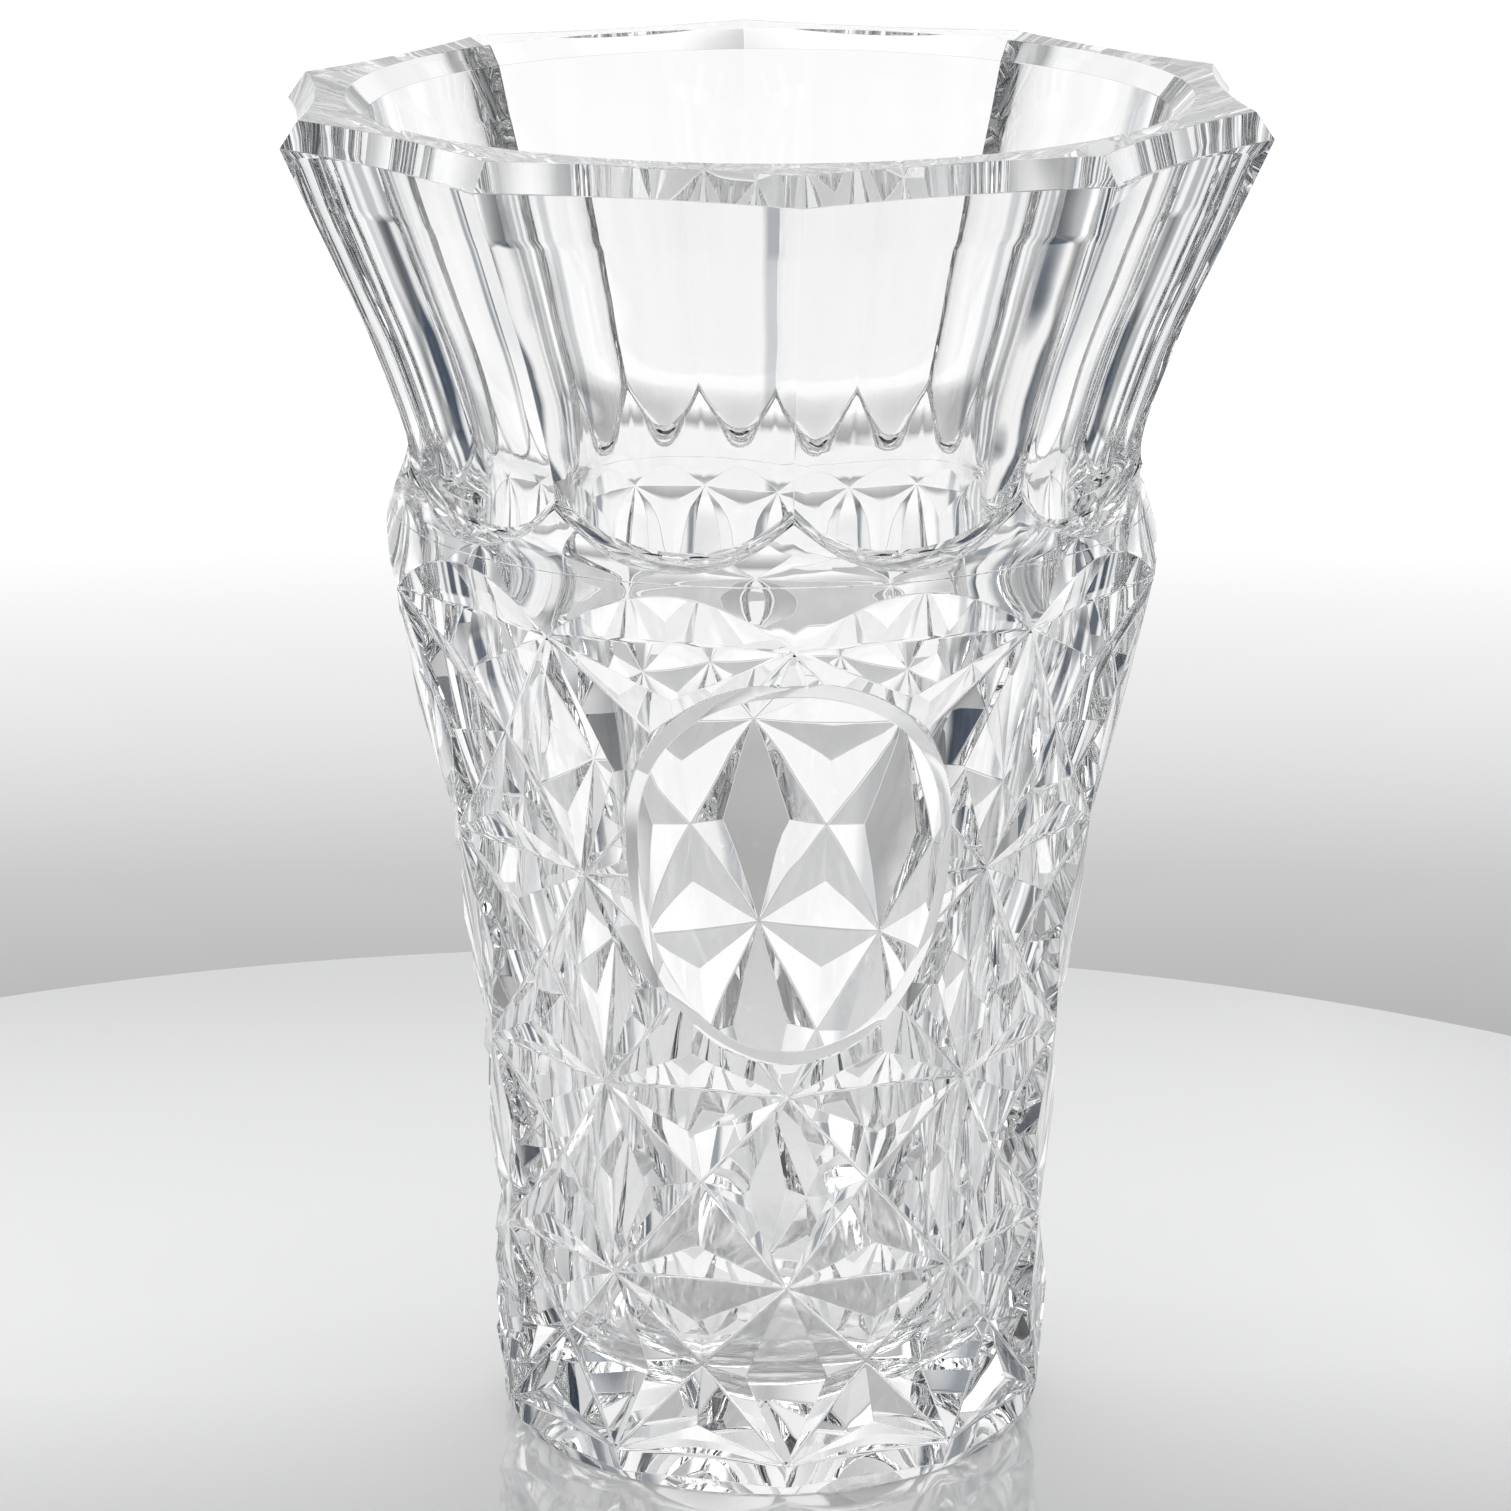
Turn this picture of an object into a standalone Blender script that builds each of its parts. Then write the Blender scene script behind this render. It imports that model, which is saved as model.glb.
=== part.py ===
"""A cut crystal vase: a fluted flared neck, a thick star-cut body and a clear oval tablet on the front.

The vase is ten-sided about +Z, stands on z = 0 and faces -Y. Angles run from the front (-Y) towards +X, and
column k of the cutting stands at k * 36 degrees, so column 0 is the front one, behind the tablet.
Lengths are in metres.
"""

import math

import bmesh
import bpy
import numpy as np

SIDES = 10
SECTOR = 2 * math.pi / SIDES
HALF_SECTOR = SECTOR / 2

# Rim
HEIGHT = 0.3000
RIM_TOP_CORNER_RADIUS = 0.1052
RIM_LOW_CORNER_RADIUS = 0.1094
RIM_CHAMFER_DROP = 0.0058
MOUTH_RADIUS = 0.0908
MOUTH_BEVEL_WIDTH = 0.0042
MOUTH_BEVEL_DROP = 0.0042

# Neck: height and radius of the sharp ridge between two flutes
RIDGE_HEIGHTS = (0.2132, 0.2236, 0.2290, 0.2347, 0.2426, 0.2554, 0.2697, 0.2860, HEIGHT - RIM_CHAMFER_DROP)
RIDGE_RADII = (0.0818, 0.0821, 0.0825, 0.0840, 0.0868, 0.0916, 0.0982, 0.1057, RIM_LOW_CORNER_RADIUS)
FLUTE_HOLLOW_SHARE = 0.0256
FLUTE_EASE_TOP = 0.2300
FLUTE_EASE = 0.0008
FLUTE_FILLET = 0.0030
SCALLOP_BOTTOM = 0.2134
SCALLOP_RISE = 0.0117
SCALLOP_POWER = 2.3

# Shoulder ring: height and radius of the turned band left between the flutes and the star cutting
RING_HEIGHTS = (0.1984, 0.2009, 0.2044, 0.2079, 0.2111, 0.2140, 0.2169, 0.2198, 0.2236, 0.2251)
RING_RADII = (0.0857, 0.0856, 0.0850, 0.0840, 0.0829, 0.0819, 0.0813, 0.0813, 0.0821, 0.0822)
ALMOND_RISE = 0.0104

# Star cutting: height and radius of the stars in each row, and of the crosses between two rows
ROW_HEIGHTS = (0.0084, 0.0500, 0.0948, 0.1433, 0.1984)
ROW_RADII = (0.0625, 0.0625, 0.0658, 0.0726, 0.0857)
CROSS_HEIGHTS = (0.0297, 0.0723, 0.1189, 0.1703)
CROSS_RADII = (0.0577, 0.0581, 0.0631, 0.0725)
PYRAMID_RISE = 0.0036
GROOVE_BOW = 0.0008

# Foot
FOOT_RADIUS = 0.0584
FOOT_EDGE_RADIUS = 0.0606
FOOT_EDGE_HEIGHT = 0.0024
FOOT_FLANK_RISE = 0.0014

# Bore: height and radius of the smooth inside wall
BORE_HEIGHTS = (0.034, 0.060, 0.095, 0.130, 0.165, 0.190, 0.205, 0.220, 0.235, 0.252, 0.270, 0.285)
BORE_RADII = (0.0430, 0.0442, 0.0480, 0.0535, 0.0597, 0.0636, 0.0645, 0.0651, 0.0677, 0.0726, 0.0786, 0.0837)
FLOOR_HEIGHT = 0.0190
FLOOR_CORNER_RADIUS = 0.0150

# Seam between neck and body: a spigot under the neck sits in a socket in the body
SEAM_HEIGHT = 0.2112
SPIGOT_RADIUS = 0.0730
SPIGOT_LENGTH = 0.0080
BOND_GAP = 0.0003

# Oval tablet on the front, leaning out with the body's flare; its widest line stands above its middle
TABLET_WIDEST_HEIGHT = 0.1550
TABLET_WIDEST_RADIUS = 0.0772
TABLET_LEAN = math.radians(8.5)
TABLET_HALF_WIDTH = 0.0343
TABLET_RISE = 0.0358
TABLET_DROP = 0.0528
TABLET_SQUARENESS = 2.15
TABLET_BEVEL_WIDTH = 0.0025
TABLET_BEVEL_DEPTH = 0.0013
TABLET_CURVE_RADIUS = 0.0820
TABLET_DEPTH = 0.0100

# Fineness of the curved surfaces
FLUTE_STEPS = 8
FLUTE_ROWS = 7
FILLET_ROWS = 3
RING_ROWS = 3
FLOOR_CORNER_ROWS = 3
TABLET_SEGMENTS = 48
TABLET_RINGS = 3
CUT_EDGE_ANGLE = math.radians(16)

CRYSTAL = {"colour": (0.955, 0.965, 0.970, 1.0), "roughness": 0.02, "ior": 1.55}


def smooth_at(height, heights, radii):
    """The radius at a height, on a smooth curve through the given points."""
    heights, radii = np.asarray(heights), np.asarray(radii)
    slopes = np.gradient(radii, heights)
    i = int(np.clip(np.searchsorted(heights, height) - 1, 0, len(heights) - 2))
    span = heights[i + 1] - heights[i]
    t = np.clip((height - heights[i]) / span, 0.0, 1.0)
    from_start = (1 + 2 * t) * (1 - t) ** 2 * radii[i] + t * (1 - t) ** 2 * span * slopes[i]
    from_end = t * t * (3 - 2 * t) * radii[i + 1] - t * t * (1 - t) * span * slopes[i + 1]
    return from_start + from_end


def ring_radius(height):
    return smooth_at(height, RING_HEIGHTS, RING_RADII)


def bore_radius(height):
    return smooth_at(height, BORE_HEIGHTS, BORE_RADII)


def polar(radius, angle, height):
    return np.array((radius * math.sin(angle), -radius * math.cos(angle), height))


def flute_point(corner_radius, f):
    """Radius and angle from the flute's middle, for f from -1 at one ridge to 1 at the next."""
    across = f * corner_radius * math.sin(HALF_SECTOR)
    outward = corner_radius * (math.cos(HALF_SECTOR) - FLUTE_HOLLOW_SHARE * (1 - f * f))
    return math.hypot(across, outward), math.atan2(across, outward)


def scallop_height(f):
    """Where a flute ends on the shoulder: a U, lowest at the flute's middle."""
    return SCALLOP_BOTTOM + SCALLOP_RISE * abs(f) ** SCALLOP_POWER


def almond_height(f):
    """Upper edge of the almond cut under the shoulder, between two stars of the top row."""
    return ROW_HEIGHTS[-1] + ALMOND_RISE * (1 - f * f)


def eased_flute(height, f):
    """Radius and angle of the flute surface, which eases outward a little in its lowest part."""
    radius, angle = flute_point(smooth_at(height, RIDGE_HEIGHTS, RIDGE_RADII), f)
    low = max(0.0, (FLUTE_EASE_TOP - height) / (FLUTE_EASE_TOP - SCALLOP_BOTTOM))
    return radius + FLUTE_EASE * (1 - f * f) * low**3, angle


def flute_surface(height, f, turn=0.0):
    """The eased flute, turned outward by a fillet at its end until it meets the shoulder at the scallop."""
    radius, angle = eased_flute(height, f)
    end = scallop_height(f)
    missing = ring_radius(end) - eased_flute(end, f)[0]
    return radius + missing * (1 - math.cos(turn)), angle


def column_fractions():
    """(flute number, f) of each column of vertices, once round the vase."""
    steps = [2 * i / FLUTE_STEPS - 1 for i in range(FLUTE_STEPS)]
    return [(flute, f) for flute in range(SIDES) for f in steps]


def row_of(place):
    """One closed row of points. place(f) gives radius, angle from the flute's middle, and height."""
    row = []
    for flute, f in column_fractions():
        radius, angle, height = place(f)
        row.append(polar(radius, angle + (flute + 0.5) * SECTOR, height))
    return row


def circle_row(radius, height):
    return row_of(lambda f: (radius, f * HALF_SECTOR, height))


def ring_row(top, bottom, share):
    """A row on the shoulder ring, a share of the way down from top(f) to bottom(f)."""

    def place(f):
        height = top(f) + share * (bottom(f) - top(f))
        return ring_radius(height), f * HALF_SECTOR, height

    return row_of(place)


class Surface:
    """Points and faces collected for one closed mesh; points that meet become one."""

    def __init__(self):
        self.points = []
        self.index = {}
        self.faces = []

    def point(self, place):
        key = tuple(int(round(value * 1e7)) for value in place)
        if key not in self.index:
            self.index[key] = len(self.points)
            self.points.append(tuple(float(value) for value in place))
        return self.index[key]

    def face(self, *places):
        corners = []
        for place in places:
            corner = self.point(place)
            if corner not in corners:
                corners.append(corner)
        if len(corners) > 2:
            self.faces.append(corners)

    def band(self, upper, lower):
        """Triangles between two closed rows, facing outward when the rows go down the outside."""
        for i in range(len(upper)):
            j = (i + 1) % len(upper)
            self.face(upper[i], lower[i], lower[j])
            self.face(upper[i], lower[j], upper[j])

    def rows(self, rows):
        for upper, lower in zip(rows, rows[1:]):
            self.band(upper, lower)

    def cap(self, row, centre):
        for i in range(len(row)):
            self.face(row[i], centre, row[(i + 1) % len(row)])

    def make_object(self, name, material):
        mesh = bpy.data.meshes.new(name)
        mesh.from_pydata(self.points, [], self.faces)
        mesh.materials.append(material)
        made = bpy.data.objects.new(name, mesh)
        bpy.context.collection.objects.link(made)
        shell = bmesh.new()
        shell.from_mesh(mesh)
        bmesh.ops.triangulate(shell, faces=shell.faces)
        bmesh.ops.recalc_face_normals(shell, faces=shell.faces)
        shell.to_mesh(mesh)
        shell.free()
        return made


def crystal_material(name):
    material = bpy.data.materials.new(name)
    material.use_nodes = True
    shader = material.node_tree.nodes["Principled BSDF"]
    shader.inputs["Base Color"].default_value = CRYSTAL["colour"]
    shader.inputs["Roughness"].default_value = CRYSTAL["roughness"]
    shader.inputs["Metallic"].default_value = 0.0
    shader.inputs["IOR"].default_value = CRYSTAL["ior"]
    shader.inputs["Transmission Weight"].default_value = 1.0
    return material


def flute_rows():
    """Rows down the flutes, from the chamfered rim through the fillets to the scalloped ends."""
    low = HEIGHT - RIM_CHAMFER_DROP
    rows = [row_of(lambda f: (*flute_point(RIM_TOP_CORNER_RADIUS, f), HEIGHT))]
    for step in range(FLUTE_ROWS + 1):

        def flute(f, share=step / FLUTE_ROWS):
            height = low + share * (scallop_height(f) + FLUTE_FILLET - low)
            return (*flute_surface(height, f), height)

        rows.append(row_of(flute))
    for step in range(1, FILLET_ROWS + 1):

        def fillet(f, turn=math.pi / 2 * step / FILLET_ROWS):
            height = scallop_height(f) + FLUTE_FILLET * (1 - math.sin(turn))
            return (*flute_surface(height, f, turn), height)

        rows.append(row_of(fillet))
    return rows


def fluted_neck(material):
    """The flared neck, open at both ends, with the spigot that locates it in the body."""
    rows = flute_rows()
    shares = [step / RING_ROWS for step in range(1, RING_ROWS + 1)]
    rows += [ring_row(scallop_height, lambda f: SEAM_HEIGHT, share) for share in shares]
    rows.append(circle_row(SPIGOT_RADIUS, SEAM_HEIGHT))
    spigot_end = SEAM_HEIGHT - SPIGOT_LENGTH
    rows.append(circle_row(SPIGOT_RADIUS, spigot_end))
    rows.append(circle_row(bore_radius(spigot_end), spigot_end))
    rows += [circle_row(bore_radius(h), h) for h in BORE_HEIGHTS if h > spigot_end]
    bevel_low = HEIGHT - MOUTH_BEVEL_DROP
    rows.append(circle_row(MOUTH_RADIUS - MOUTH_BEVEL_WIDTH, bevel_low))
    rows.append(circle_row(MOUTH_RADIUS, HEIGHT))
    surface = Surface()
    surface.rows(rows + rows[:1])
    return surface.make_object("fluted_neck", material)


def groove(row, column):
    """Points along a level groove bottom, from one star to the next, a little deeper between them. The
    outermost rows meet the ring or the foot, so they carry the same columns of points as those do."""
    radius, height = ROW_RADII[row], ROW_HEIGHTS[row]
    start = polar(radius, column % SIDES * SECTOR, height)
    end = polar(radius, (column + 1) % SIDES * SECTOR, height)
    inward = -polar(1.0, (column + 0.5) * SECTOR, 0.0)
    steps = FLUTE_STEPS if row in (0, len(ROW_HEIGHTS) - 1) else 2
    shares = [i / steps for i in range(1, steps)]
    bowed = [start + (end - start) * t + inward * GROOVE_BOW * 4 * t * (1 - t) for t in shares]
    return [start] + bowed + [end]


def groove_row(row):
    return [place for column in range(SIDES) for place in groove(row, column)[:-1]]


def pyramid_top(a, b, c):
    """The point over a triangle's in-centre where the flanks of its three grooves meet."""
    sides = np.array([np.linalg.norm(b - c), np.linalg.norm(c - a), np.linalg.norm(a - b)])
    centre = (sides[0] * a + sides[1] * b + sides[2] * c) / sides.sum()
    normal = np.cross(b - a, c - a)
    normal /= np.linalg.norm(normal)
    outward = np.array((centre[0], centre[1], 0.0))
    return centre + normal * math.copysign(PYRAMID_RISE, normal @ outward)


def star_cell(surface, row, column):
    """Four pyramids round the cross in the middle of a cell between two star rows and two columns."""
    low, high = groove(row, column), groove(row + 1, column)
    left, right = [low[0], high[0]], [low[-1], high[-1]]
    cross = polar(CROSS_RADII[row], (column + 0.5) * SECTOR, CROSS_HEIGHTS[row])
    for edge in (low, right, high[::-1], left[::-1]):
        top = pyramid_top(edge[0], edge[-1], cross)
        for start, end in zip(edge, edge[1:]):
            surface.face(start, end, top)
        surface.face(edge[-1], cross, top)
        surface.face(cross, edge[0], top)


def bore_rows():
    """Rows down the inside of the body, from the socket to the round corner of the floor."""
    socket_end = SEAM_HEIGHT - SPIGOT_LENGTH - BOND_GAP
    heights = [height for height in reversed(BORE_HEIGHTS) if height < socket_end]
    rows = [circle_row(bore_radius(height), height) for height in [socket_end] + heights]
    for step in range(1, FLOOR_CORNER_ROWS + 1):
        turn = math.pi / 2 * step / FLOOR_CORNER_ROWS
        radius = BORE_RADII[0] - FLOOR_CORNER_RADIUS * (1 - math.cos(turn))
        rows.append(circle_row(radius, FLOOR_HEIGHT + FLOOR_CORNER_RADIUS * (1 - math.sin(turn))))
    return rows


def foot_edge(f):
    """The crest between the lowest groove flanks and the foot's chamfer."""
    return FOOT_EDGE_RADIUS, f * HALF_SECTOR, FOOT_EDGE_HEIGHT + FOOT_FLANK_RISE * (1 - f * f)


def star_cut_body(material):
    """The thick vessel: shoulder ring, star cutting, solid foot, smooth bore and the neck's socket."""
    top = SEAM_HEIGHT - BOND_GAP
    socket_radius = SPIGOT_RADIUS + BOND_GAP
    socket_end = SEAM_HEIGHT - SPIGOT_LENGTH - BOND_GAP
    surface = Surface()
    shoulder = [ring_row(lambda f: top, almond_height, step / RING_ROWS) for step in range(RING_ROWS + 1)]
    surface.rows(shoulder + [groove_row(len(ROW_HEIGHTS) - 1)])
    for row in range(len(CROSS_HEIGHTS)):
        for column in range(SIDES):
            star_cell(surface, row, column)
    foot = circle_row(FOOT_RADIUS, 0.0)
    surface.rows([groove_row(0), row_of(foot_edge), foot])
    surface.cap(foot, np.zeros(3))
    inside = [circle_row(socket_radius, top), circle_row(socket_radius, socket_end)] + bore_rows()
    surface.rows([shoulder[0]] + inside)
    surface.cap(inside[-1], np.array((0.0, 0.0, FLOOR_HEIGHT)))
    return surface.make_object("star_cut_body", material)


def squared(share):
    """A cosine or sine pushed outward, so that an ellipse drawn with it is slightly squarer."""
    return math.copysign(abs(share) ** (2 / TABLET_SQUARENESS), share)


def tablet_place(scale, turn, depth, grow=0.0):
    """A point of the tablet: scale 1 is its outline, turn goes round it, depth goes in from its face.
    The face curves round the vase, and the oval reaches further down than up from its widest line."""
    reach = TABLET_RISE if math.sin(turn) > 0 else TABLET_DROP
    across = scale * (TABLET_HALF_WIDTH + grow) * squared(math.cos(turn))
    along = scale * (reach + grow) * squared(math.sin(turn))
    inward = depth + TABLET_CURVE_RADIUS - math.sqrt(TABLET_CURVE_RADIUS**2 - across**2)
    outward = TABLET_WIDEST_RADIUS + along * math.sin(TABLET_LEAN) - inward * math.cos(TABLET_LEAN)
    height = TABLET_WIDEST_HEIGHT + along * math.cos(TABLET_LEAN) + inward * math.sin(TABLET_LEAN)
    return np.array((across, -outward, height))


def tablet_solid(name, material, front, back, grow=0.0, bevelled=False):
    """A closed oval slab between two depths, with or without the polished bevel round its face."""
    turns = [2 * math.pi * i / TABLET_SEGMENTS for i in range(TABLET_SEGMENTS)]

    def ring(scale, depth):
        return [tablet_place(scale, turn, depth, grow) for turn in turns]

    shares = [step / TABLET_RINGS for step in range(1, TABLET_RINGS + 1)]
    face = 1 - TABLET_BEVEL_WIDTH / TABLET_HALF_WIDTH if bevelled else 1.0
    rows = [ring(face * share, front) for share in shares]
    if bevelled:
        rows.append(ring(1.0, front + TABLET_BEVEL_DEPTH))
    rows += [ring(share, back) for share in reversed(shares)]
    surface = Surface()
    surface.cap(rows[0], tablet_place(0.0, 0.0, front))
    surface.rows(rows)
    surface.cap(rows[-1][::-1], tablet_place(0.0, 0.0, back))
    return surface.make_object(name, material)


def carve(body, cutter):
    """Cuts one object out of another and removes the cutter."""
    cut = body.modifiers.new("seat", "BOOLEAN")
    cut.operation = "DIFFERENCE"
    cut.solver = "EXACT"
    cut.object = cutter
    graph = bpy.context.evaluated_depsgraph_get()
    carved = bpy.data.meshes.new_from_object(body.evaluated_get(graph))
    body.modifiers.clear()
    plain = body.data
    body.data = carved
    bpy.data.meshes.remove(plain)
    bpy.data.objects.remove(cutter)


def shade(part):
    """Curved surfaces are shaded smooth, and cut edges stay sharp."""
    part.data.shade_smooth()
    part.data.set_sharp_from_angle(angle=CUT_EDGE_ANGLE)


def main():
    for old in list(bpy.data.objects):
        bpy.data.objects.remove(old, do_unlink=True)
    neck = fluted_neck(crystal_material("neck_crystal"))
    body_crystal = crystal_material("body_crystal")
    body = star_cut_body(body_crystal)
    seat = tablet_solid("seat", body_crystal, -TABLET_DEPTH, TABLET_DEPTH + BOND_GAP, grow=BOND_GAP)
    carve(body, seat)
    tablet = tablet_solid("oval_tablet", crystal_material("tablet_crystal"), 0.0, TABLET_DEPTH, bevelled=True)
    for part in (neck, body, tablet):
        shade(part)


main()
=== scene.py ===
"""Cut crystal vase on a pale round table in a bright studio. The three crystal pieces are rebuilt here at a
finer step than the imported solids, with polished edges, and meet each other at clear bonded joints.

The vase is ten-sided about +Z and faces -Y; angles run from the front towards +X. Lengths are in metres.
"""

import math

import bmesh
import bpy
import numpy as np
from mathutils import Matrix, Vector
from mathutils.bvhtree import BVHTree


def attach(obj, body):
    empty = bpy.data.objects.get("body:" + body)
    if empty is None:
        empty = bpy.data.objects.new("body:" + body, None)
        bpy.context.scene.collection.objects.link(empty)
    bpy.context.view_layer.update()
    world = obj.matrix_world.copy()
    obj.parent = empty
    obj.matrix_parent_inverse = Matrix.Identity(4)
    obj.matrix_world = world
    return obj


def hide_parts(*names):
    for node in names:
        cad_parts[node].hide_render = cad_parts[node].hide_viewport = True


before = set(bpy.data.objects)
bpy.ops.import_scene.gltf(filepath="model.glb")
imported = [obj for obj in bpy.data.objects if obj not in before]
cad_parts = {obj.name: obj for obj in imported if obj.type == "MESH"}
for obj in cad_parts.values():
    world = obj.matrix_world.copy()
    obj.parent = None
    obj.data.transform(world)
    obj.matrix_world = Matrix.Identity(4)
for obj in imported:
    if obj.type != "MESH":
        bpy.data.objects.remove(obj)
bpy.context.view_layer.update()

SIDES = 10
SECTOR = 2 * math.pi / SIDES
HALF_SECTOR = SECTOR / 2

# Rim
HEIGHT = 0.3000
RIM_TOP_CORNER_RADIUS = 0.1052
RIM_LOW_CORNER_RADIUS = 0.1094
RIM_CHAMFER_DROP = 0.0058
MOUTH_RADIUS = 0.0908
MOUTH_BEVEL_WIDTH = 0.0042
MOUTH_BEVEL_DROP = 0.0042

# Neck: height and radius of the sharp ridge between two flutes
RIDGE_HEIGHTS = (0.2132, 0.2236, 0.2290, 0.2347, 0.2426, 0.2554, 0.2697, 0.2860, HEIGHT - RIM_CHAMFER_DROP)
RIDGE_RADII = (0.0818, 0.0821, 0.0825, 0.0840, 0.0868, 0.0916, 0.0982, 0.1057, RIM_LOW_CORNER_RADIUS)
FLUTE_HOLLOW_SHARE = 0.0256
FLUTE_EASE_TOP = 0.2300
FLUTE_EASE = 0.0008
FLUTE_FILLET = 0.0030
SCALLOP_BOTTOM = 0.2134
SCALLOP_RISE = 0.0117
SCALLOP_POWER = 2.3

# Shoulder ring
RING_HEIGHTS = (0.1984, 0.2009, 0.2044, 0.2079, 0.2111, 0.2140, 0.2169, 0.2198, 0.2236, 0.2251)
RING_RADII = (0.0857, 0.0856, 0.0850, 0.0840, 0.0829, 0.0819, 0.0813, 0.0813, 0.0821, 0.0822)
ALMOND_RISE = 0.0104

# Star cutting
ROW_HEIGHTS = (0.0084, 0.0500, 0.0948, 0.1433, 0.1984)
ROW_RADII = (0.0625, 0.0625, 0.0658, 0.0726, 0.0857)
CROSS_HEIGHTS = (0.0297, 0.0723, 0.1189, 0.1703)
CROSS_RADII = (0.0577, 0.0581, 0.0631, 0.0725)
PYRAMID_RISE = 0.0036
GROOVE_BOW = 0.0008

# Foot
FOOT_RADIUS = 0.0584
FOOT_EDGE_RADIUS = 0.0606
FOOT_EDGE_HEIGHT = 0.0024
FOOT_FLANK_RISE = 0.0014

# Bore
BORE_HEIGHTS = (0.034, 0.060, 0.095, 0.130, 0.165, 0.190, 0.205, 0.220, 0.235, 0.252, 0.270, 0.285)
BORE_RADII = (0.0430, 0.0442, 0.0480, 0.0535, 0.0597, 0.0636, 0.0645, 0.0651, 0.0677, 0.0726, 0.0786, 0.0837)
FLOOR_HEIGHT = 0.0190
FLOOR_CORNER_RADIUS = 0.0150

# Seam between neck and body
SEAM_HEIGHT = 0.2112
SPIGOT_RADIUS = 0.0730
SPIGOT_LENGTH = 0.0080
JOINT_FILM = 0.00001

# Oval tablet
TABLET_WIDEST_HEIGHT = 0.1550
TABLET_WIDEST_RADIUS = 0.0772
TABLET_LEAN = math.radians(8.5)
TABLET_HALF_WIDTH = 0.0343
TABLET_RISE = 0.0358
TABLET_DROP = 0.0528
TABLET_SQUARENESS = 2.15
TABLET_BEVEL_WIDTH = 0.0025
TABLET_BEVEL_DEPTH = 0.0013
TABLET_CURVE_RADIUS = 0.0820
TABLET_DEPTH = 0.0100

# Fineness of the curved surfaces
FLUTE_STEPS = 20
GROOVE_STEPS = 8
FLUTE_ROWS = 24
FILLET_ROWS = 8
RING_ROWS = 8
BORE_ROWS = 40
FLOOR_CORNER_ROWS = 8
TABLET_SEGMENTS = 120
TABLET_RINGS = 12
TABLET_WALL_ROWS = 30
MERGE_STEPS_PER_METRE = 1e7

# Polish on cut edges: a groove is rounded over GROOVE_ROUND, and a proud edge over a share of that
GROOVE_ROUND = 0.00055
ARRIS_SHARE = 0.25
ARRIS_ANGLE = math.radians(14)
ARRIS_SEGMENTS = 2
FACET_WEIGHT = 80
SHARP_ANGLE = math.radians(60)
SEAM_HEIGHT_SLACK = 0.0001
SEAM_RADIUS_MARGIN = 0.002

# Crystal
CRYSTAL_IOR = 1.545
RIPPLE_SCALE = 45.0
RIPPLE_STRENGTH = 0.04
RIPPLE_HEIGHT = 0.002

# Table
TABLE_RADIUS = 0.40
TABLE_THICKNESS = 0.012
TABLE_EDGE_ROUND = 0.002
TABLE_EDGE_FIRST_TURN = 0.2
TABLE_EDGE_STEPS = 6
TABLE_SHARP_ANGLE = math.radians(30)
TABLE_SEGMENTS = 160
TABLE_CENTRE = Vector((-0.036, -0.070, -0.0002))
TABLE_ROUGHNESS = 0.05
TABLE_IOR = 2.8
# Faint painted glow: the table emits a little light over its whole surface, though it is no lamp
TABLE_PAINTED_GLOW = 0.11

# The painted pool of light on the table, put into its base colour: tone from near edge (0) to far edge (1),
# and by distance to the side
PAINTED_POOL_TONES = (
    (0.0, 0.08),
    (0.30, 0.11),
    (0.42, 0.33),
    (0.5125, 0.64),
    (0.60, 0.88),
    (0.66, 0.90),
    (0.74, 0.84),
    (0.85, 0.70),
    (0.9625, 0.48),
    (1.0, 0.45),
)
PAINTED_POOL_SIDE_TONES = ((0.0, 1.0), (0.20, 1.0), (0.25, 0.85), (0.33, 0.25), (1.0, 0.25))

# Studio. BACKDROP_TONES run from straight down (0) over level (0.5) to straight up (1). ROOM_TONES run from
# behind the camera (0) to ahead (1). FLAG_TONES, the dark flags at both sides, go by distance to the side.
STUDIO_STRENGTH = 1.03
FLAG_DARK = (0.06, 0.08, 0.11)
FLAG_GREY = (0.30, 0.33, 0.365)
BACKDROP_TONES = (
    (0.0, 0.95),
    (0.318, 1.0),
    (0.332, 0.42),
    (0.340, 0.47),
    (0.352, 0.58),
    (0.362, 0.74),
    (0.375, 0.89),
    (0.388, 1.10),
    (0.415, 1.13),
    (0.424, 1.02),
    (0.430, 1.04),
    (0.50, 1.0),
    (0.62, 0.88),
    (0.71, 0.66),
    (0.78, 0.50),
    (0.83, 0.50),
    (0.88, 2.0),
    (0.98, 2.0),
)
ROOM_TONES = ((0.0, 0.03), (0.11, 0.05), (0.18, 0.26), (0.30, 0.56), (0.44, 0.74), (0.56, 1.0))
FLAG_TONES = (
    (0.0, 1.0),
    (0.44, 1.0),
    (0.49, FLAG_GREY),
    (0.56, FLAG_GREY),
    (0.60, 0.90),
    (0.65, 0.90),
    (0.69, FLAG_DARK),
    (0.79, FLAG_DARK),
    (0.82, 0.9),
    (0.86, 0.9),
    (0.885, FLAG_DARK),
    (0.95, FLAG_DARK),
    (0.965, 0.6),
    (1.0, 0.6),
)
# How far the room and the flags count, by the same height as the backdrop
ROOM_SHARES = ((0.0, 1.0), (0.32, 1.0), (0.37, 0.80), (0.56, 0.80), (0.62, 1.0))
FLAG_SHARES = ((0.0, 1.0), (0.31, 1.0), (0.36, 0.5), (0.44, 0.5), (0.50, 1.0))

# Camera
CAMERA_PLACE = (-0.0681, -1.1450, 0.4830)
CAMERA_LENS_MM = 128.2
CAMERA_SENSOR_MM = 36.0
CAMERA_TILT_DOWN = 16.107
CAMERA_TURN = -3.248

# Light paths: a ray crosses many cut faces before it leaves the crystal
CRYSTAL_BOUNCES = 28
GLOSSY_BOUNCES = 12
DIFFUSE_BOUNCES = 4
JOINT_CROSSINGS = 32

CRYSTAL, JOINT = 0, 1


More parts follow.
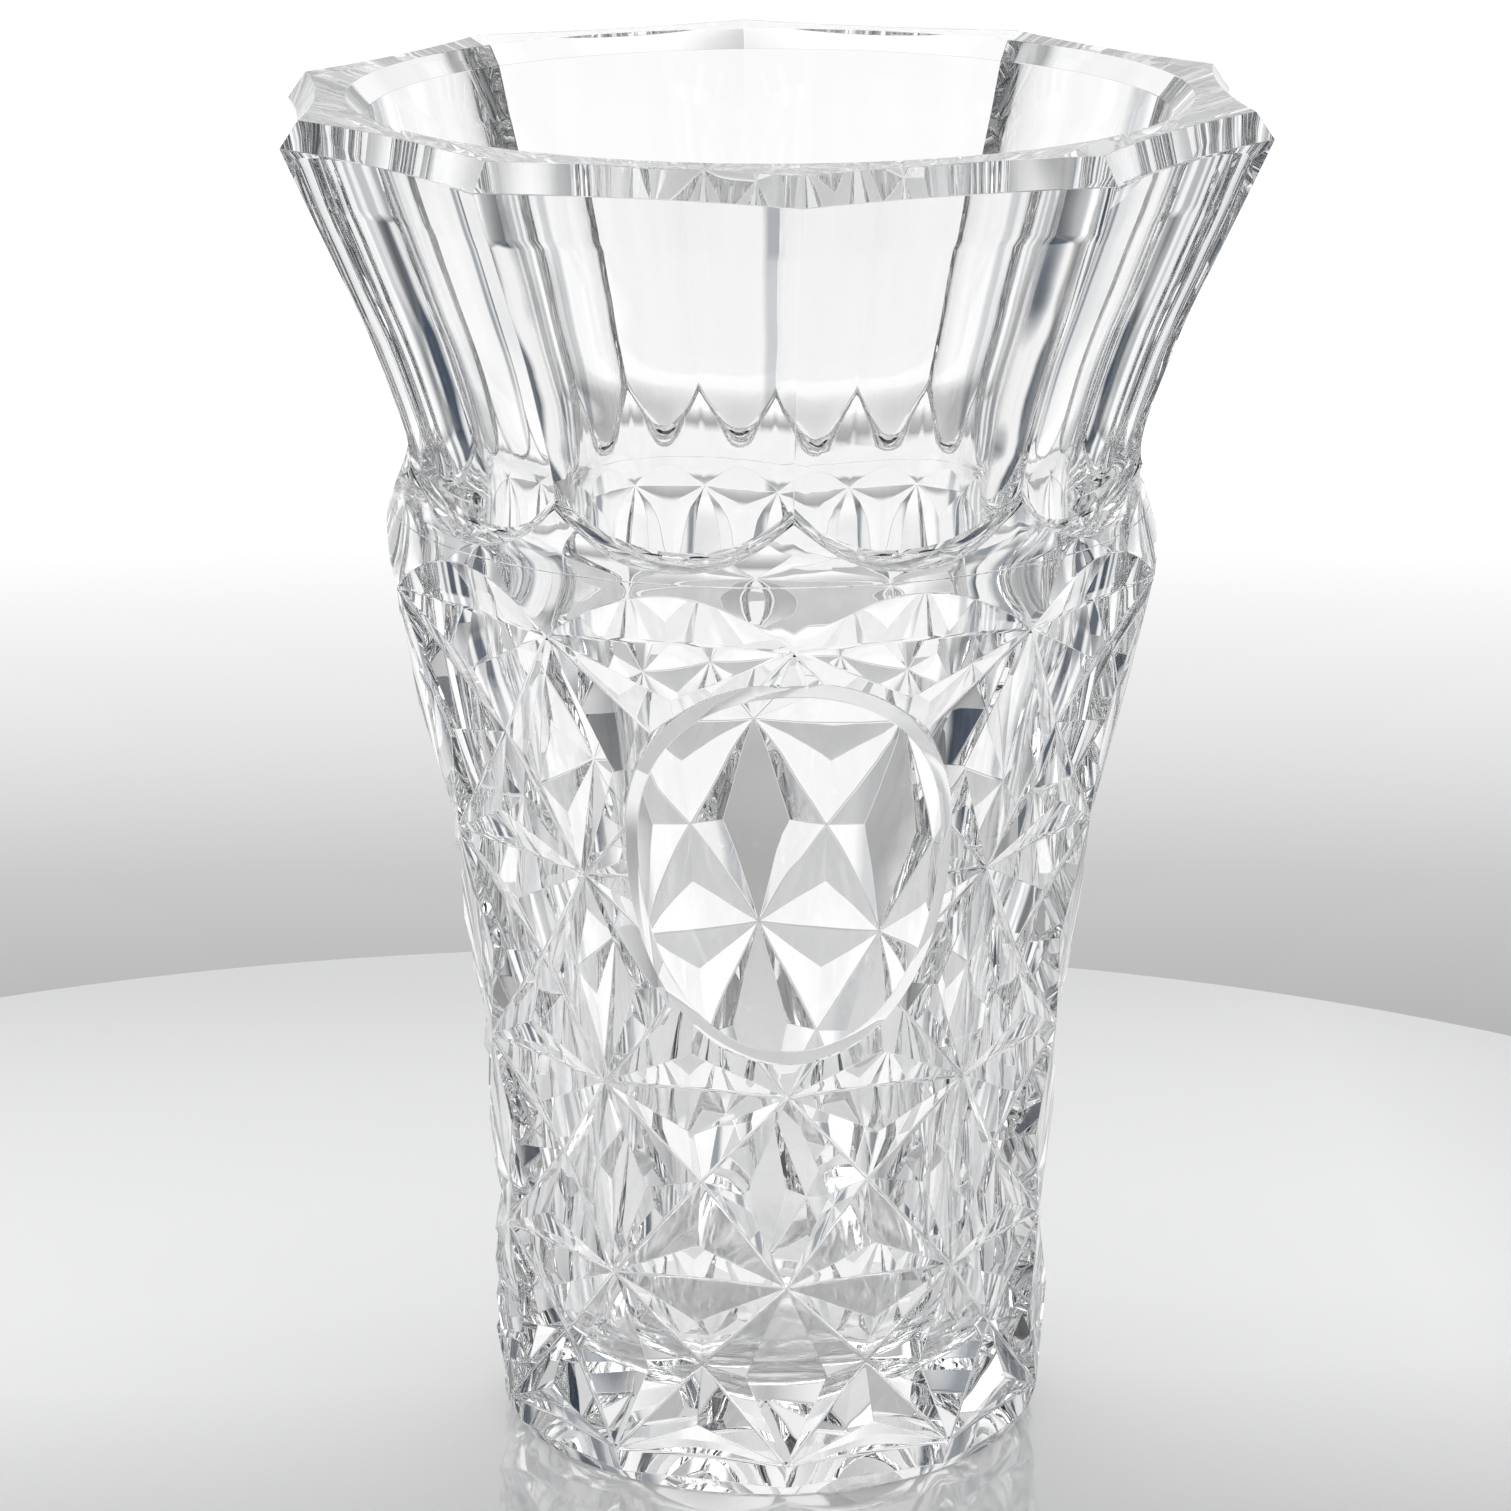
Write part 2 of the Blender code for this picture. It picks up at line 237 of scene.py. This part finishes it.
def smooth_at(height, heights, radii):
    """The radius at a height, on the smooth curve through the given radii."""
    heights, radii = np.asarray(heights), np.asarray(radii)
    slopes = np.gradient(radii, heights)
    i = int(np.clip(np.searchsorted(heights, height) - 1, 0, len(heights) - 2))
    span = heights[i + 1] - heights[i]
    t = np.clip((height - heights[i]) / span, 0.0, 1.0)
    from_start = (1 + 2 * t) * (1 - t) ** 2 * radii[i] + t * (1 - t) ** 2 * span * slopes[i]
    from_end = t * t * (3 - 2 * t) * radii[i + 1] - t * t * (1 - t) * span * slopes[i + 1]
    return from_start + from_end


def ring_radius(height):
    return smooth_at(height, RING_HEIGHTS, RING_RADII)


def bore_radius(height):
    return smooth_at(height, BORE_HEIGHTS, BORE_RADII)


def polar(radius, angle, height):
    return np.array((radius * math.sin(angle), -radius * math.cos(angle), height))


def flute_point(corner_radius, f):
    """Radius and angle on a flute, where f runs from -1 at one ridge to 1 at the next."""
    across = f * corner_radius * math.sin(HALF_SECTOR)
    outward = corner_radius * (math.cos(HALF_SECTOR) - FLUTE_HOLLOW_SHARE * (1 - f * f))
    return math.hypot(across, outward), math.atan2(across, outward)


def scallop_height(f):
    return SCALLOP_BOTTOM + SCALLOP_RISE * abs(f) ** SCALLOP_POWER


def almond_height(f):
    return ROW_HEIGHTS[-1] + ALMOND_RISE * (1 - f * f)


def flute_surface(height, f, turn=0.0):
    """Radius and angle on the flute. A turn of up to 90 degrees takes it round the fillet."""
    radius, angle = eased_flute(height, f)
    end = scallop_height(f)
    missing = ring_radius(end) - eased_flute(end, f)[0]
    return radius + missing * (1 - math.cos(turn)), angle


def eased_flute(height, f):
    """Radius and angle on the flute, which grows shallower low down."""
    radius, angle = flute_point(smooth_at(height, RIDGE_HEIGHTS, RIDGE_RADII), f)
    low = max(0.0, (FLUTE_EASE_TOP - height) / (FLUTE_EASE_TOP - SCALLOP_BOTTOM))
    return radius + FLUTE_EASE * (1 - f * f) * low**3, angle


def row_of(place):
    """One closed row of points. place(f) gives radius, angle from the flute's middle, and height."""
    row = []
    for flute in range(SIDES):
        for i in range(FLUTE_STEPS):
            radius, angle, height = place(2 * i / FLUTE_STEPS - 1)
            row.append(polar(radius, angle + (flute + 0.5) * SECTOR, height))
    return row


def circle_row(radius, height):
    return row_of(lambda f: (radius, f * HALF_SECTOR, height))


def ring_row(top, bottom, share):
    def place(f):
        height = top(f) + share * (bottom(f) - top(f))
        return ring_radius(height), f * HALF_SECTOR, height

    return row_of(place)


class Surface:
    """Points and faces collected for one closed mesh; points that meet become one."""

    def __init__(self):
        self.points = []
        self.index = {}
        self.faces = []
        self.slots = []

    def point(self, place):
        key = tuple(int(round(value * MERGE_STEPS_PER_METRE)) for value in place)
        if key not in self.index:
            self.index[key] = len(self.points)
            self.points.append(tuple(float(value) for value in place))
        return self.index[key]

    def face(self, *places, slot=CRYSTAL):
        corners = []
        for place in places:
            corner = self.point(place)
            if corner not in corners:
                corners.append(corner)
        if len(corners) > 2:
            self.faces.append(corners)
            self.slots.append(slot)

    def rows(self, rows, slot=CRYSTAL):
        for upper, lower in zip(rows, rows[1:]):
            for i in range(len(upper)):
                j = (i + 1) % len(upper)
                self.face(upper[i], lower[i], lower[j], upper[j], slot=slot)

    def cap(self, row, centre, slot=CRYSTAL):
        for i in range(len(row)):
            self.face(row[i], centre, row[(i + 1) % len(row)], slot=slot)

    def make_object(self, name):
        mesh = bpy.data.meshes.new(name)
        mesh.from_pydata(self.points, [], self.faces)
        mesh.materials.append(crystal)
        mesh.materials.append(joint)
        mesh.polygons.foreach_set("material_index", self.slots)
        made = bpy.data.objects.new(name, mesh)
        bpy.context.scene.collection.objects.link(made)
        shell = bmesh.new()
        shell.from_mesh(mesh)
        bmesh.ops.recalc_face_normals(shell, faces=shell.faces)
        shell.to_mesh(mesh)
        shell.free()
        return made


def crystal_material():
    """Clear full-lead crystal with the faint ripple that polishing leaves."""
    material = bpy.data.materials.new("clear_crystal")
    material.use_nodes = True
    nodes, links = material.node_tree.nodes, material.node_tree.links
    shader = nodes["Principled BSDF"]
    shader.inputs["Base Color"].default_value = (1.0, 1.0, 1.0, 1.0)
    shader.inputs["Roughness"].default_value = 0.0
    shader.inputs["IOR"].default_value = CRYSTAL_IOR
    shader.inputs["Transmission Weight"].default_value = 1.0
    place = nodes.new("ShaderNodeTexCoord")
    ripple = nodes.new("ShaderNodeTexNoise")
    ripple.inputs["Scale"].default_value = RIPPLE_SCALE
    ripple.inputs["Detail"].default_value = 1.0
    bump = nodes.new("ShaderNodeBump")
    bump.inputs["Strength"].default_value = RIPPLE_STRENGTH
    bump.inputs["Distance"].default_value = RIPPLE_HEIGHT
    links.new(place.outputs["Object"], ripple.inputs["Vector"])
    links.new(ripple.outputs["Fac"], bump.inputs["Height"])
    links.new(bump.outputs["Normal"], shader.inputs["Normal"])
    return material


def joint_material():
    """Clear adhesive of the crystal's own index: light crosses it unbent."""
    material = bpy.data.materials.new("clear_joint")
    material.use_nodes = True
    nodes, links = material.node_tree.nodes, material.node_tree.links
    nodes.remove(nodes["Principled BSDF"])
    clear = nodes.new("ShaderNodeBsdfTransparent")
    links.new(clear.outputs["BSDF"], nodes["Material Output"].inputs["Surface"])
    return material


crystal = crystal_material()
joint = joint_material()


def polish(piece, keep_seam):
    """A narrow polished strip along every cut edge. Edges of a bonded joint stay sharp, apart from the seam
    on the outside where keep_seam says so."""
    mesh = piece.data
    shell = bmesh.new()
    shell.from_mesh(mesh)
    weights = shell.edges.layers.float.new("bevel_weight_edge")
    for edge in shell.edges:
        if len(edge.link_faces) != 2:
            continue
        slots = {face.material_index for face in edge.link_faces}
        at_seam = keep_seam and slots == {CRYSTAL, JOINT} and on_outer_seam(edge)
        if edge.calc_face_angle() > ARRIS_ANGLE and (slots == {CRYSTAL} or at_seam):
            edge[weights] = ARRIS_SHARE if edge.is_convex else 1.0
    shell.to_mesh(mesh)
    shell.free()
    bevel = piece.modifiers.new("arris", "BEVEL")
    bevel.limit_method = "WEIGHT"
    bevel.width = GROOVE_ROUND
    bevel.segments = ARRIS_SEGMENTS
    bevel.use_clamp_overlap = False
    bevel.loop_slide = False
    mesh.shade_smooth()
    weighted = piece.modifiers.new("facets", "WEIGHTED_NORMAL")
    weighted.weight = FACET_WEIGHT
    weighted.keep_sharp = True
    mesh.set_sharp_from_angle(angle=SHARP_ANGLE)
    apply_modifiers(piece)


def on_outer_seam(edge):
    middle = (edge.verts[0].co + edge.verts[1].co) / 2
    level = abs(middle.z - SEAM_HEIGHT) < SEAM_HEIGHT_SLACK
    return level and math.hypot(middle.x, middle.y) > SPIGOT_RADIUS + SEAM_RADIUS_MARGIN


def apply_modifiers(piece):
    graph = bpy.context.evaluated_depsgraph_get()
    evaluated = piece.evaluated_get(graph)
    made = bpy.data.meshes.new_from_object(evaluated, preserve_all_data_layers=True, depsgraph=graph)
    piece.modifiers.clear()
    plain = piece.data
    piece.data = made
    made.name = piece.name
    bpy.data.meshes.remove(plain)


def flute_rows():
    """Rows down the flutes, from the chamfered rim to the scalloped ends on the shoulder."""
    low = HEIGHT - RIM_CHAMFER_DROP
    rows = [row_of(lambda f: (*flute_point(RIM_TOP_CORNER_RADIUS, f), HEIGHT))]
    for step in range(FLUTE_ROWS + 1):

        def flute(f, share=step / FLUTE_ROWS):
            height = low + share * (scallop_height(f) + FLUTE_FILLET - low)
            return (*flute_surface(height, f), height)

        rows.append(row_of(flute))
    for step in range(1, FILLET_ROWS + 1):

        def fillet(f, turn=math.pi / 2 * step / FILLET_ROWS):
            height = scallop_height(f) + FLUTE_FILLET * (1 - math.sin(turn))
            return (*flute_surface(height, f, turn), height)

        rows.append(row_of(fillet))
    return rows


def fluted_neck():
    surface = Surface()
    rows = flute_rows()
    shares = [step / RING_ROWS for step in range(1, RING_ROWS + 1)]
    rows += [ring_row(scallop_height, lambda f: SEAM_HEIGHT, share) for share in shares]
    surface.rows(rows)
    spigot_end = SEAM_HEIGHT - SPIGOT_LENGTH
    spigot = [circle_row(SPIGOT_RADIUS, SEAM_HEIGHT), circle_row(SPIGOT_RADIUS, spigot_end)]
    surface.rows([rows[-1]] + spigot + [circle_row(bore_radius(spigot_end), spigot_end)], slot=JOINT)
    bevel_low = HEIGHT - MOUTH_BEVEL_DROP
    bevel_radius = MOUTH_RADIUS - MOUTH_BEVEL_WIDTH
    inside = [circle_row(bore_radius(h), h) for h in np.linspace(spigot_end, BORE_HEIGHTS[-1], BORE_ROWS)]
    inside += [circle_row(bevel_radius, bevel_low), circle_row(MOUTH_RADIUS, HEIGHT), rows[0]]
    surface.rows(inside)
    return surface.make_object("crystal_neck")


def groove(row, column):
    """Points along the groove between two star centres. The first and last rows match the flutes' steps."""
    radius, height = ROW_RADII[row], ROW_HEIGHTS[row]
    start = polar(radius, column % SIDES * SECTOR, height)
    end = polar(radius, (column + 1) % SIDES * SECTOR, height)
    inward = -polar(1.0, (column + 0.5) * SECTOR, 0.0)
    steps = FLUTE_STEPS if row in (0, len(ROW_HEIGHTS) - 1) else GROOVE_STEPS
    shares = [i / steps for i in range(1, steps)]
    bowed = [start + (end - start) * t + inward * GROOVE_BOW * 4 * t * (1 - t) for t in shares]
    return [start] + bowed + [end]


def groove_row(row):
    return [place for column in range(SIDES) for place in groove(row, column)[:-1]]


def pyramid_top(a, b, c):
    """The top of a low pyramid on the triangle a, b, c, over the centre of its inscribed circle."""
    sides = np.array([np.linalg.norm(b - c), np.linalg.norm(c - a), np.linalg.norm(a - b)])
    centre = (sides[0] * a + sides[1] * b + sides[2] * c) / sides.sum()
    normal = np.cross(b - a, c - a)
    normal /= np.linalg.norm(normal)
    outward = np.array((centre[0], centre[1], 0.0))
    return centre + normal * math.copysign(PYRAMID_RISE, normal @ outward)


def star_cell(surface, row, column):
    """The four pyramids between two rows of star centres, round the point where their grooves cross."""
    low, high = groove(row, column), groove(row + 1, column)
    left, right = [low[0], high[0]], [low[-1], high[-1]]
    cross = polar(CROSS_RADII[row], (column + 0.5) * SECTOR, CROSS_HEIGHTS[row])
    for edge in (low, right, high[::-1], left[::-1]):
        top = pyramid_top(edge[0], edge[-1], cross)
        for start, end in zip(edge, edge[1:]):
            surface.face(start, end, top)
        surface.face(edge[-1], cross, top)
        surface.face(cross, edge[0], top)


def foot_edge(f):
    return FOOT_EDGE_RADIUS, f * HALF_SECTOR, FOOT_EDGE_HEIGHT + FOOT_FLANK_RISE * (1 - f * f)


def star_cut_body():
    top = SEAM_HEIGHT - JOINT_FILM
    socket_end = SEAM_HEIGHT - SPIGOT_LENGTH - JOINT_FILM
    socket_radius = SPIGOT_RADIUS + JOINT_FILM
    surface = Surface()
    shoulder = [ring_row(lambda f: top, almond_height, step / RING_ROWS) for step in range(RING_ROWS + 1)]
    surface.rows(shoulder + [groove_row(len(ROW_HEIGHTS) - 1)])
    for row in range(len(CROSS_HEIGHTS)):
        for column in range(SIDES):
            star_cell(surface, row, column)
    foot = circle_row(FOOT_RADIUS, 0.0)
    surface.rows([groove_row(0), row_of(foot_edge), foot])
    surface.cap(foot, np.zeros(3))
    bore_top = circle_row(bore_radius(socket_end), socket_end)
    socket = [circle_row(socket_radius, top), circle_row(socket_radius, socket_end), bore_top]
    surface.rows([shoulder[0]] + socket, slot=JOINT)
    inside = [circle_row(bore_radius(h), h) for h in np.linspace(socket_end, BORE_HEIGHTS[0], BORE_ROWS)]
    for step in range(1, FLOOR_CORNER_ROWS + 1):
        turn = math.pi / 2 * step / FLOOR_CORNER_ROWS
        radius = BORE_RADII[0] - FLOOR_CORNER_RADIUS * (1 - math.cos(turn))
        inside.append(circle_row(radius, FLOOR_HEIGHT + FLOOR_CORNER_RADIUS * (1 - math.sin(turn))))
    surface.rows(inside)
    surface.cap(inside[-1], np.array((0.0, 0.0, FLOOR_HEIGHT)))
    return surface.make_object("crystal_body")


def squared(share):
    """A sine or cosine changed so that the oval comes out slightly squarish."""
    return math.copysign(abs(share) ** (2 / TABLET_SQUARENESS), share)


def tablet_place(scale, turn, depth, grow=0.0):
    """A point on the tablet: scale is 0 in its middle and 1 at its outline, and depth runs into the wall."""
    reach = TABLET_RISE if math.sin(turn) > 0 else TABLET_DROP
    across = scale * (TABLET_HALF_WIDTH + grow) * squared(math.cos(turn))
    along = scale * (reach + grow) * squared(math.sin(turn))
    inward = depth + TABLET_CURVE_RADIUS - math.sqrt(TABLET_CURVE_RADIUS**2 - across**2)
    outward = TABLET_WIDEST_RADIUS + along * math.sin(TABLET_LEAN) - inward * math.cos(TABLET_LEAN)
    height = TABLET_WIDEST_HEIGHT + along * math.cos(TABLET_LEAN) + inward * math.sin(TABLET_LEAN)
    return np.array((across, -outward, height))


def tablet_rings(depth, grow, outline=1.0):
    turns = [2 * math.pi * i / TABLET_SEGMENTS for i in range(TABLET_SEGMENTS)]
    shares = [step / TABLET_RINGS for step in range(1, TABLET_RINGS + 1)]
    return [[tablet_place(outline * share, turn, depth, grow) for turn in turns] for share in shares]


def tablet_seat():
    """Cutter for the recess that the tablet is bonded into."""
    surface = Surface()
    front = tablet_rings(-TABLET_DEPTH, JOINT_FILM)
    back = tablet_rings(TABLET_DEPTH + JOINT_FILM, JOINT_FILM)
    surface.cap(front[0], tablet_place(0.0, 0.0, -TABLET_DEPTH), slot=JOINT)
    surface.rows(front + back[::-1], slot=JOINT)
    surface.cap(back[0][::-1], tablet_place(0.0, 0.0, TABLET_DEPTH + JOINT_FILM), slot=JOINT)
    return surface.make_object("seat")


def oval_tablet(inside_body):
    """The bonded part of its wall is clear joint, and the part that stands proud is polished crystal."""
    surface = Surface()
    front = tablet_rings(0.0, 0.0, outline=1 - TABLET_BEVEL_WIDTH / TABLET_HALF_WIDTH)
    back = tablet_rings(TABLET_DEPTH, 0.0)
    surface.cap(front[0], tablet_place(0.0, 0.0, 0.0))
    turns = [2 * math.pi * i / TABLET_SEGMENTS for i in range(TABLET_SEGMENTS)]
    depths = np.linspace(TABLET_BEVEL_DEPTH, TABLET_DEPTH, TABLET_WALL_ROWS + 1)
    wall = [[tablet_place(1.0, turn, depth) for turn in turns] for depth in depths[:-1]] + [back[-1]]
    surface.rows(front + wall[:1])
    for upper, lower in zip(wall, wall[1:]):
        for i in range(TABLET_SEGMENTS):
            j = (i + 1) % TABLET_SEGMENTS
            middle = Vector((upper[i] + lower[i] + lower[j] + upper[j]) / 4)
            slot = JOINT if inside_body(middle) else CRYSTAL
            surface.face(upper[i], lower[i], lower[j], upper[j], slot=slot)
    surface.rows(back[::-1], slot=JOINT)
    surface.cap(back[0][::-1], tablet_place(0.0, 0.0, TABLET_DEPTH), slot=JOINT)
    return surface.make_object("crystal_tablet")


def carve(body, cutter):
    cut = body.modifiers.new("seat", "BOOLEAN")
    cut.operation = "DIFFERENCE"
    cut.solver = "EXACT"
    cut.object = cutter
    apply_modifiers(body)
    bpy.data.objects.remove(cutter)


def inside_test(piece):
    """A test of whether a point is inside the piece's closed mesh."""
    shell = bmesh.new()
    shell.from_mesh(piece.data)
    tree = BVHTree.FromBMesh(shell)
    shell.free()

    def inside(point):
        place, normal, _, _ = tree.find_nearest(point)
        return (point - place).dot(normal) < 0

    return inside


def math_node(nodes, links, operation, *values):
    node = nodes.new("ShaderNodeMath")
    node.operation = operation
    for socket, value in zip(node.inputs, values):
        if isinstance(value, (int, float)):
            socket.default_value = value
        else:
            links.new(value, socket)
    return node.outputs["Value"]


def ramp(nodes, links, value, stops):
    """A smooth run of greys, or of the given colours, over a value from 0 to 1."""
    node = nodes.new("ShaderNodeValToRGB")
    elements = node.color_ramp.elements
    while len(elements) < len(stops):
        elements.new(0.5)
    for element, (at, tone) in zip(elements, stops):
        colour = tone if isinstance(tone, tuple) else (tone, tone, tone)
        element.position = at
        element.color = (*colour, 1.0)
    links.new(value, node.inputs["Fac"])
    return node.outputs["Color"]


def multiply(nodes, links, first, second, share=None):
    """The product of two colours, or a share of the way to it."""
    node = nodes.new("ShaderNodeMix")
    node.data_type = "RGBA"
    node.blend_type = "MULTIPLY"
    node.inputs["Factor"].default_value = 1.0
    if share is not None:
        links.new(share, node.inputs["Factor"])
    links.new(first, node.inputs["A"])
    links.new(second, node.inputs["B"])
    return node.outputs["Result"]


def studio_world():
    """A bright room: white backdrop fading to grey low down, soft boxes above, a dimmer room behind the
    camera. Everything depends on direction only."""
    world = bpy.data.worlds.new("studio")
    bpy.context.scene.world = world
    world.use_nodes = True
    nodes, links = world.node_tree.nodes, world.node_tree.links
    background = nodes["Background"]
    place = nodes.new("ShaderNodeTexCoord")
    axes = nodes.new("ShaderNodeSeparateXYZ")
    links.new(place.outputs["Generated"], axes.inputs["Vector"])

    share = math_node(nodes, links, "MULTIPLY_ADD", axes.outputs["Z"], 0.5, 0.5)
    ahead = math_node(nodes, links, "MULTIPLY_ADD", axes.outputs["Y"], 0.5, 0.5)
    sideways = math_node(nodes, links, "ABSOLUTE", axes.outputs["X"])
    backdrop = ramp(nodes, links, share, BACKDROP_TONES)
    room = ramp(nodes, links, ahead, ROOM_TONES)
    flags = ramp(nodes, links, sideways, FLAG_TONES)
    room_share = ramp(nodes, links, share, ROOM_SHARES)
    flag_share = ramp(nodes, links, share, FLAG_SHARES)
    lit = multiply(nodes, links, backdrop, room, room_share)
    links.new(multiply(nodes, links, lit, flags, flag_share), background.inputs["Color"])
    background.inputs["Strength"].default_value = STUDIO_STRENGTH


def table_mesh():
    flat_radius = TABLE_RADIUS - TABLE_EDGE_ROUND
    profile = [(0.0, 0.0), (flat_radius, 0.0)]
    for turn in np.linspace(TABLE_EDGE_FIRST_TURN, math.pi / 2, TABLE_EDGE_STEPS):
        drop = TABLE_EDGE_ROUND * (1 - math.cos(turn))
        profile.append((flat_radius + TABLE_EDGE_ROUND * math.sin(turn), -drop))
    profile += [(TABLE_RADIUS, -TABLE_THICKNESS), (0.0, -TABLE_THICKNESS)]
    points, faces = [], []
    for radius, height in profile:
        for i in range(TABLE_SEGMENTS):
            points.append(polar(radius, 2 * math.pi * i / TABLE_SEGMENTS, height))
    for k in range(len(profile) - 1):
        upper, lower = k * TABLE_SEGMENTS, (k + 1) * TABLE_SEGMENTS
        for i in range(TABLE_SEGMENTS):
            j = (i + 1) % TABLE_SEGMENTS
            faces.append((upper + i, lower + i, lower + j, upper + j))
    mesh = bpy.data.meshes.new("table")
    mesh.from_pydata(points, [], faces)
    shell = bmesh.new()
    shell.from_mesh(mesh)
    bmesh.ops.remove_doubles(shell, verts=shell.verts, dist=1 / MERGE_STEPS_PER_METRE)
    bmesh.ops.recalc_face_normals(shell, faces=shell.faces)
    shell.to_mesh(mesh)
    shell.free()
    mesh.shade_smooth()
    mesh.set_sharp_from_angle(angle=TABLE_SHARP_ANGLE)
    return mesh


def table_material():
    """Pale gloss acrylic with a painted pool of light in its base colour that fades to the sides and towards
    the camera, and a faint painted glow.
    """
    material = bpy.data.materials.new("pale_acrylic")
    material.use_nodes = True
    nodes, links = material.node_tree.nodes, material.node_tree.links
    shader = nodes["Principled BSDF"]
    place = nodes.new("ShaderNodeTexCoord")
    axes = nodes.new("ShaderNodeSeparateXYZ")
    links.new(place.outputs["Object"], axes.inputs["Vector"])
    depth = math_node(nodes, links, "MULTIPLY_ADD", axes.outputs["Y"], 0.5 / TABLE_RADIUS, 0.5)
    sideways = math_node(nodes, links, "ABSOLUTE", axes.outputs["X"])
    painted_pool = ramp(nodes, links, depth, PAINTED_POOL_TONES)
    sides = ramp(nodes, links, sideways, PAINTED_POOL_SIDE_TONES)
    # The painted pool of light, fading to the sides, becomes the table's base colour
    links.new(multiply(nodes, links, painted_pool, sides), shader.inputs["Base Color"])
    shader.inputs["Roughness"].default_value = TABLE_ROUGHNESS
    shader.inputs["IOR"].default_value = TABLE_IOR
    # Painted glow: the whole table emits a little light, though it is no lamp
    shader.inputs["Emission Color"].default_value = (1.0, 1.0, 1.0, 1.0)
    shader.inputs["Emission Strength"].default_value = TABLE_PAINTED_GLOW
    return material


def round_table():
    """The pale glossy turntable the vase stands on."""
    table = bpy.data.objects.new("table", table_mesh())
    table.location = TABLE_CENTRE
    bpy.context.scene.collection.objects.link(table)
    table.data.materials.append(table_material())


def studio_camera():
    data = bpy.data.cameras.new("camera")
    data.sensor_width = CAMERA_SENSOR_MM
    data.lens = CAMERA_LENS_MM
    camera = bpy.data.objects.new("camera", data)
    camera.location = CAMERA_PLACE
    camera.rotation_euler = (math.radians(90 - CAMERA_TILT_DOWN), 0.0, math.radians(CAMERA_TURN))
    bpy.context.scene.collection.objects.link(camera)
    bpy.context.scene.camera = camera


neck = fluted_neck()
body = star_cut_body()
inside_body = inside_test(body)
tablet = oval_tablet(inside_body)
carve(body, tablet_seat())
polish(neck, keep_seam=True)
polish(body, keep_seam=True)
polish(tablet, keep_seam=False)
for piece, node, slot in (
    (neck, "fluted_neck", "neck_crystal"),
    (body, "star_cut_body", "body_crystal"),
    (tablet, "oval_tablet", "tablet_crystal"),
):
    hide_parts(node)
    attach(piece, "root")
    print("piece", piece.name, len(piece.data.polygons), "faces")

round_table()
studio_world()
studio_camera()

scene = bpy.context.scene
scene.view_settings.view_transform = "Standard"
scene.view_settings.look = "None"
scene.cycles.max_bounces = CRYSTAL_BOUNCES
scene.cycles.transmission_bounces = CRYSTAL_BOUNCES
scene.cycles.glossy_bounces = GLOSSY_BOUNCES
scene.cycles.transparent_max_bounces = JOINT_CROSSINGS
scene.cycles.diffuse_bounces = DIFFUSE_BOUNCES
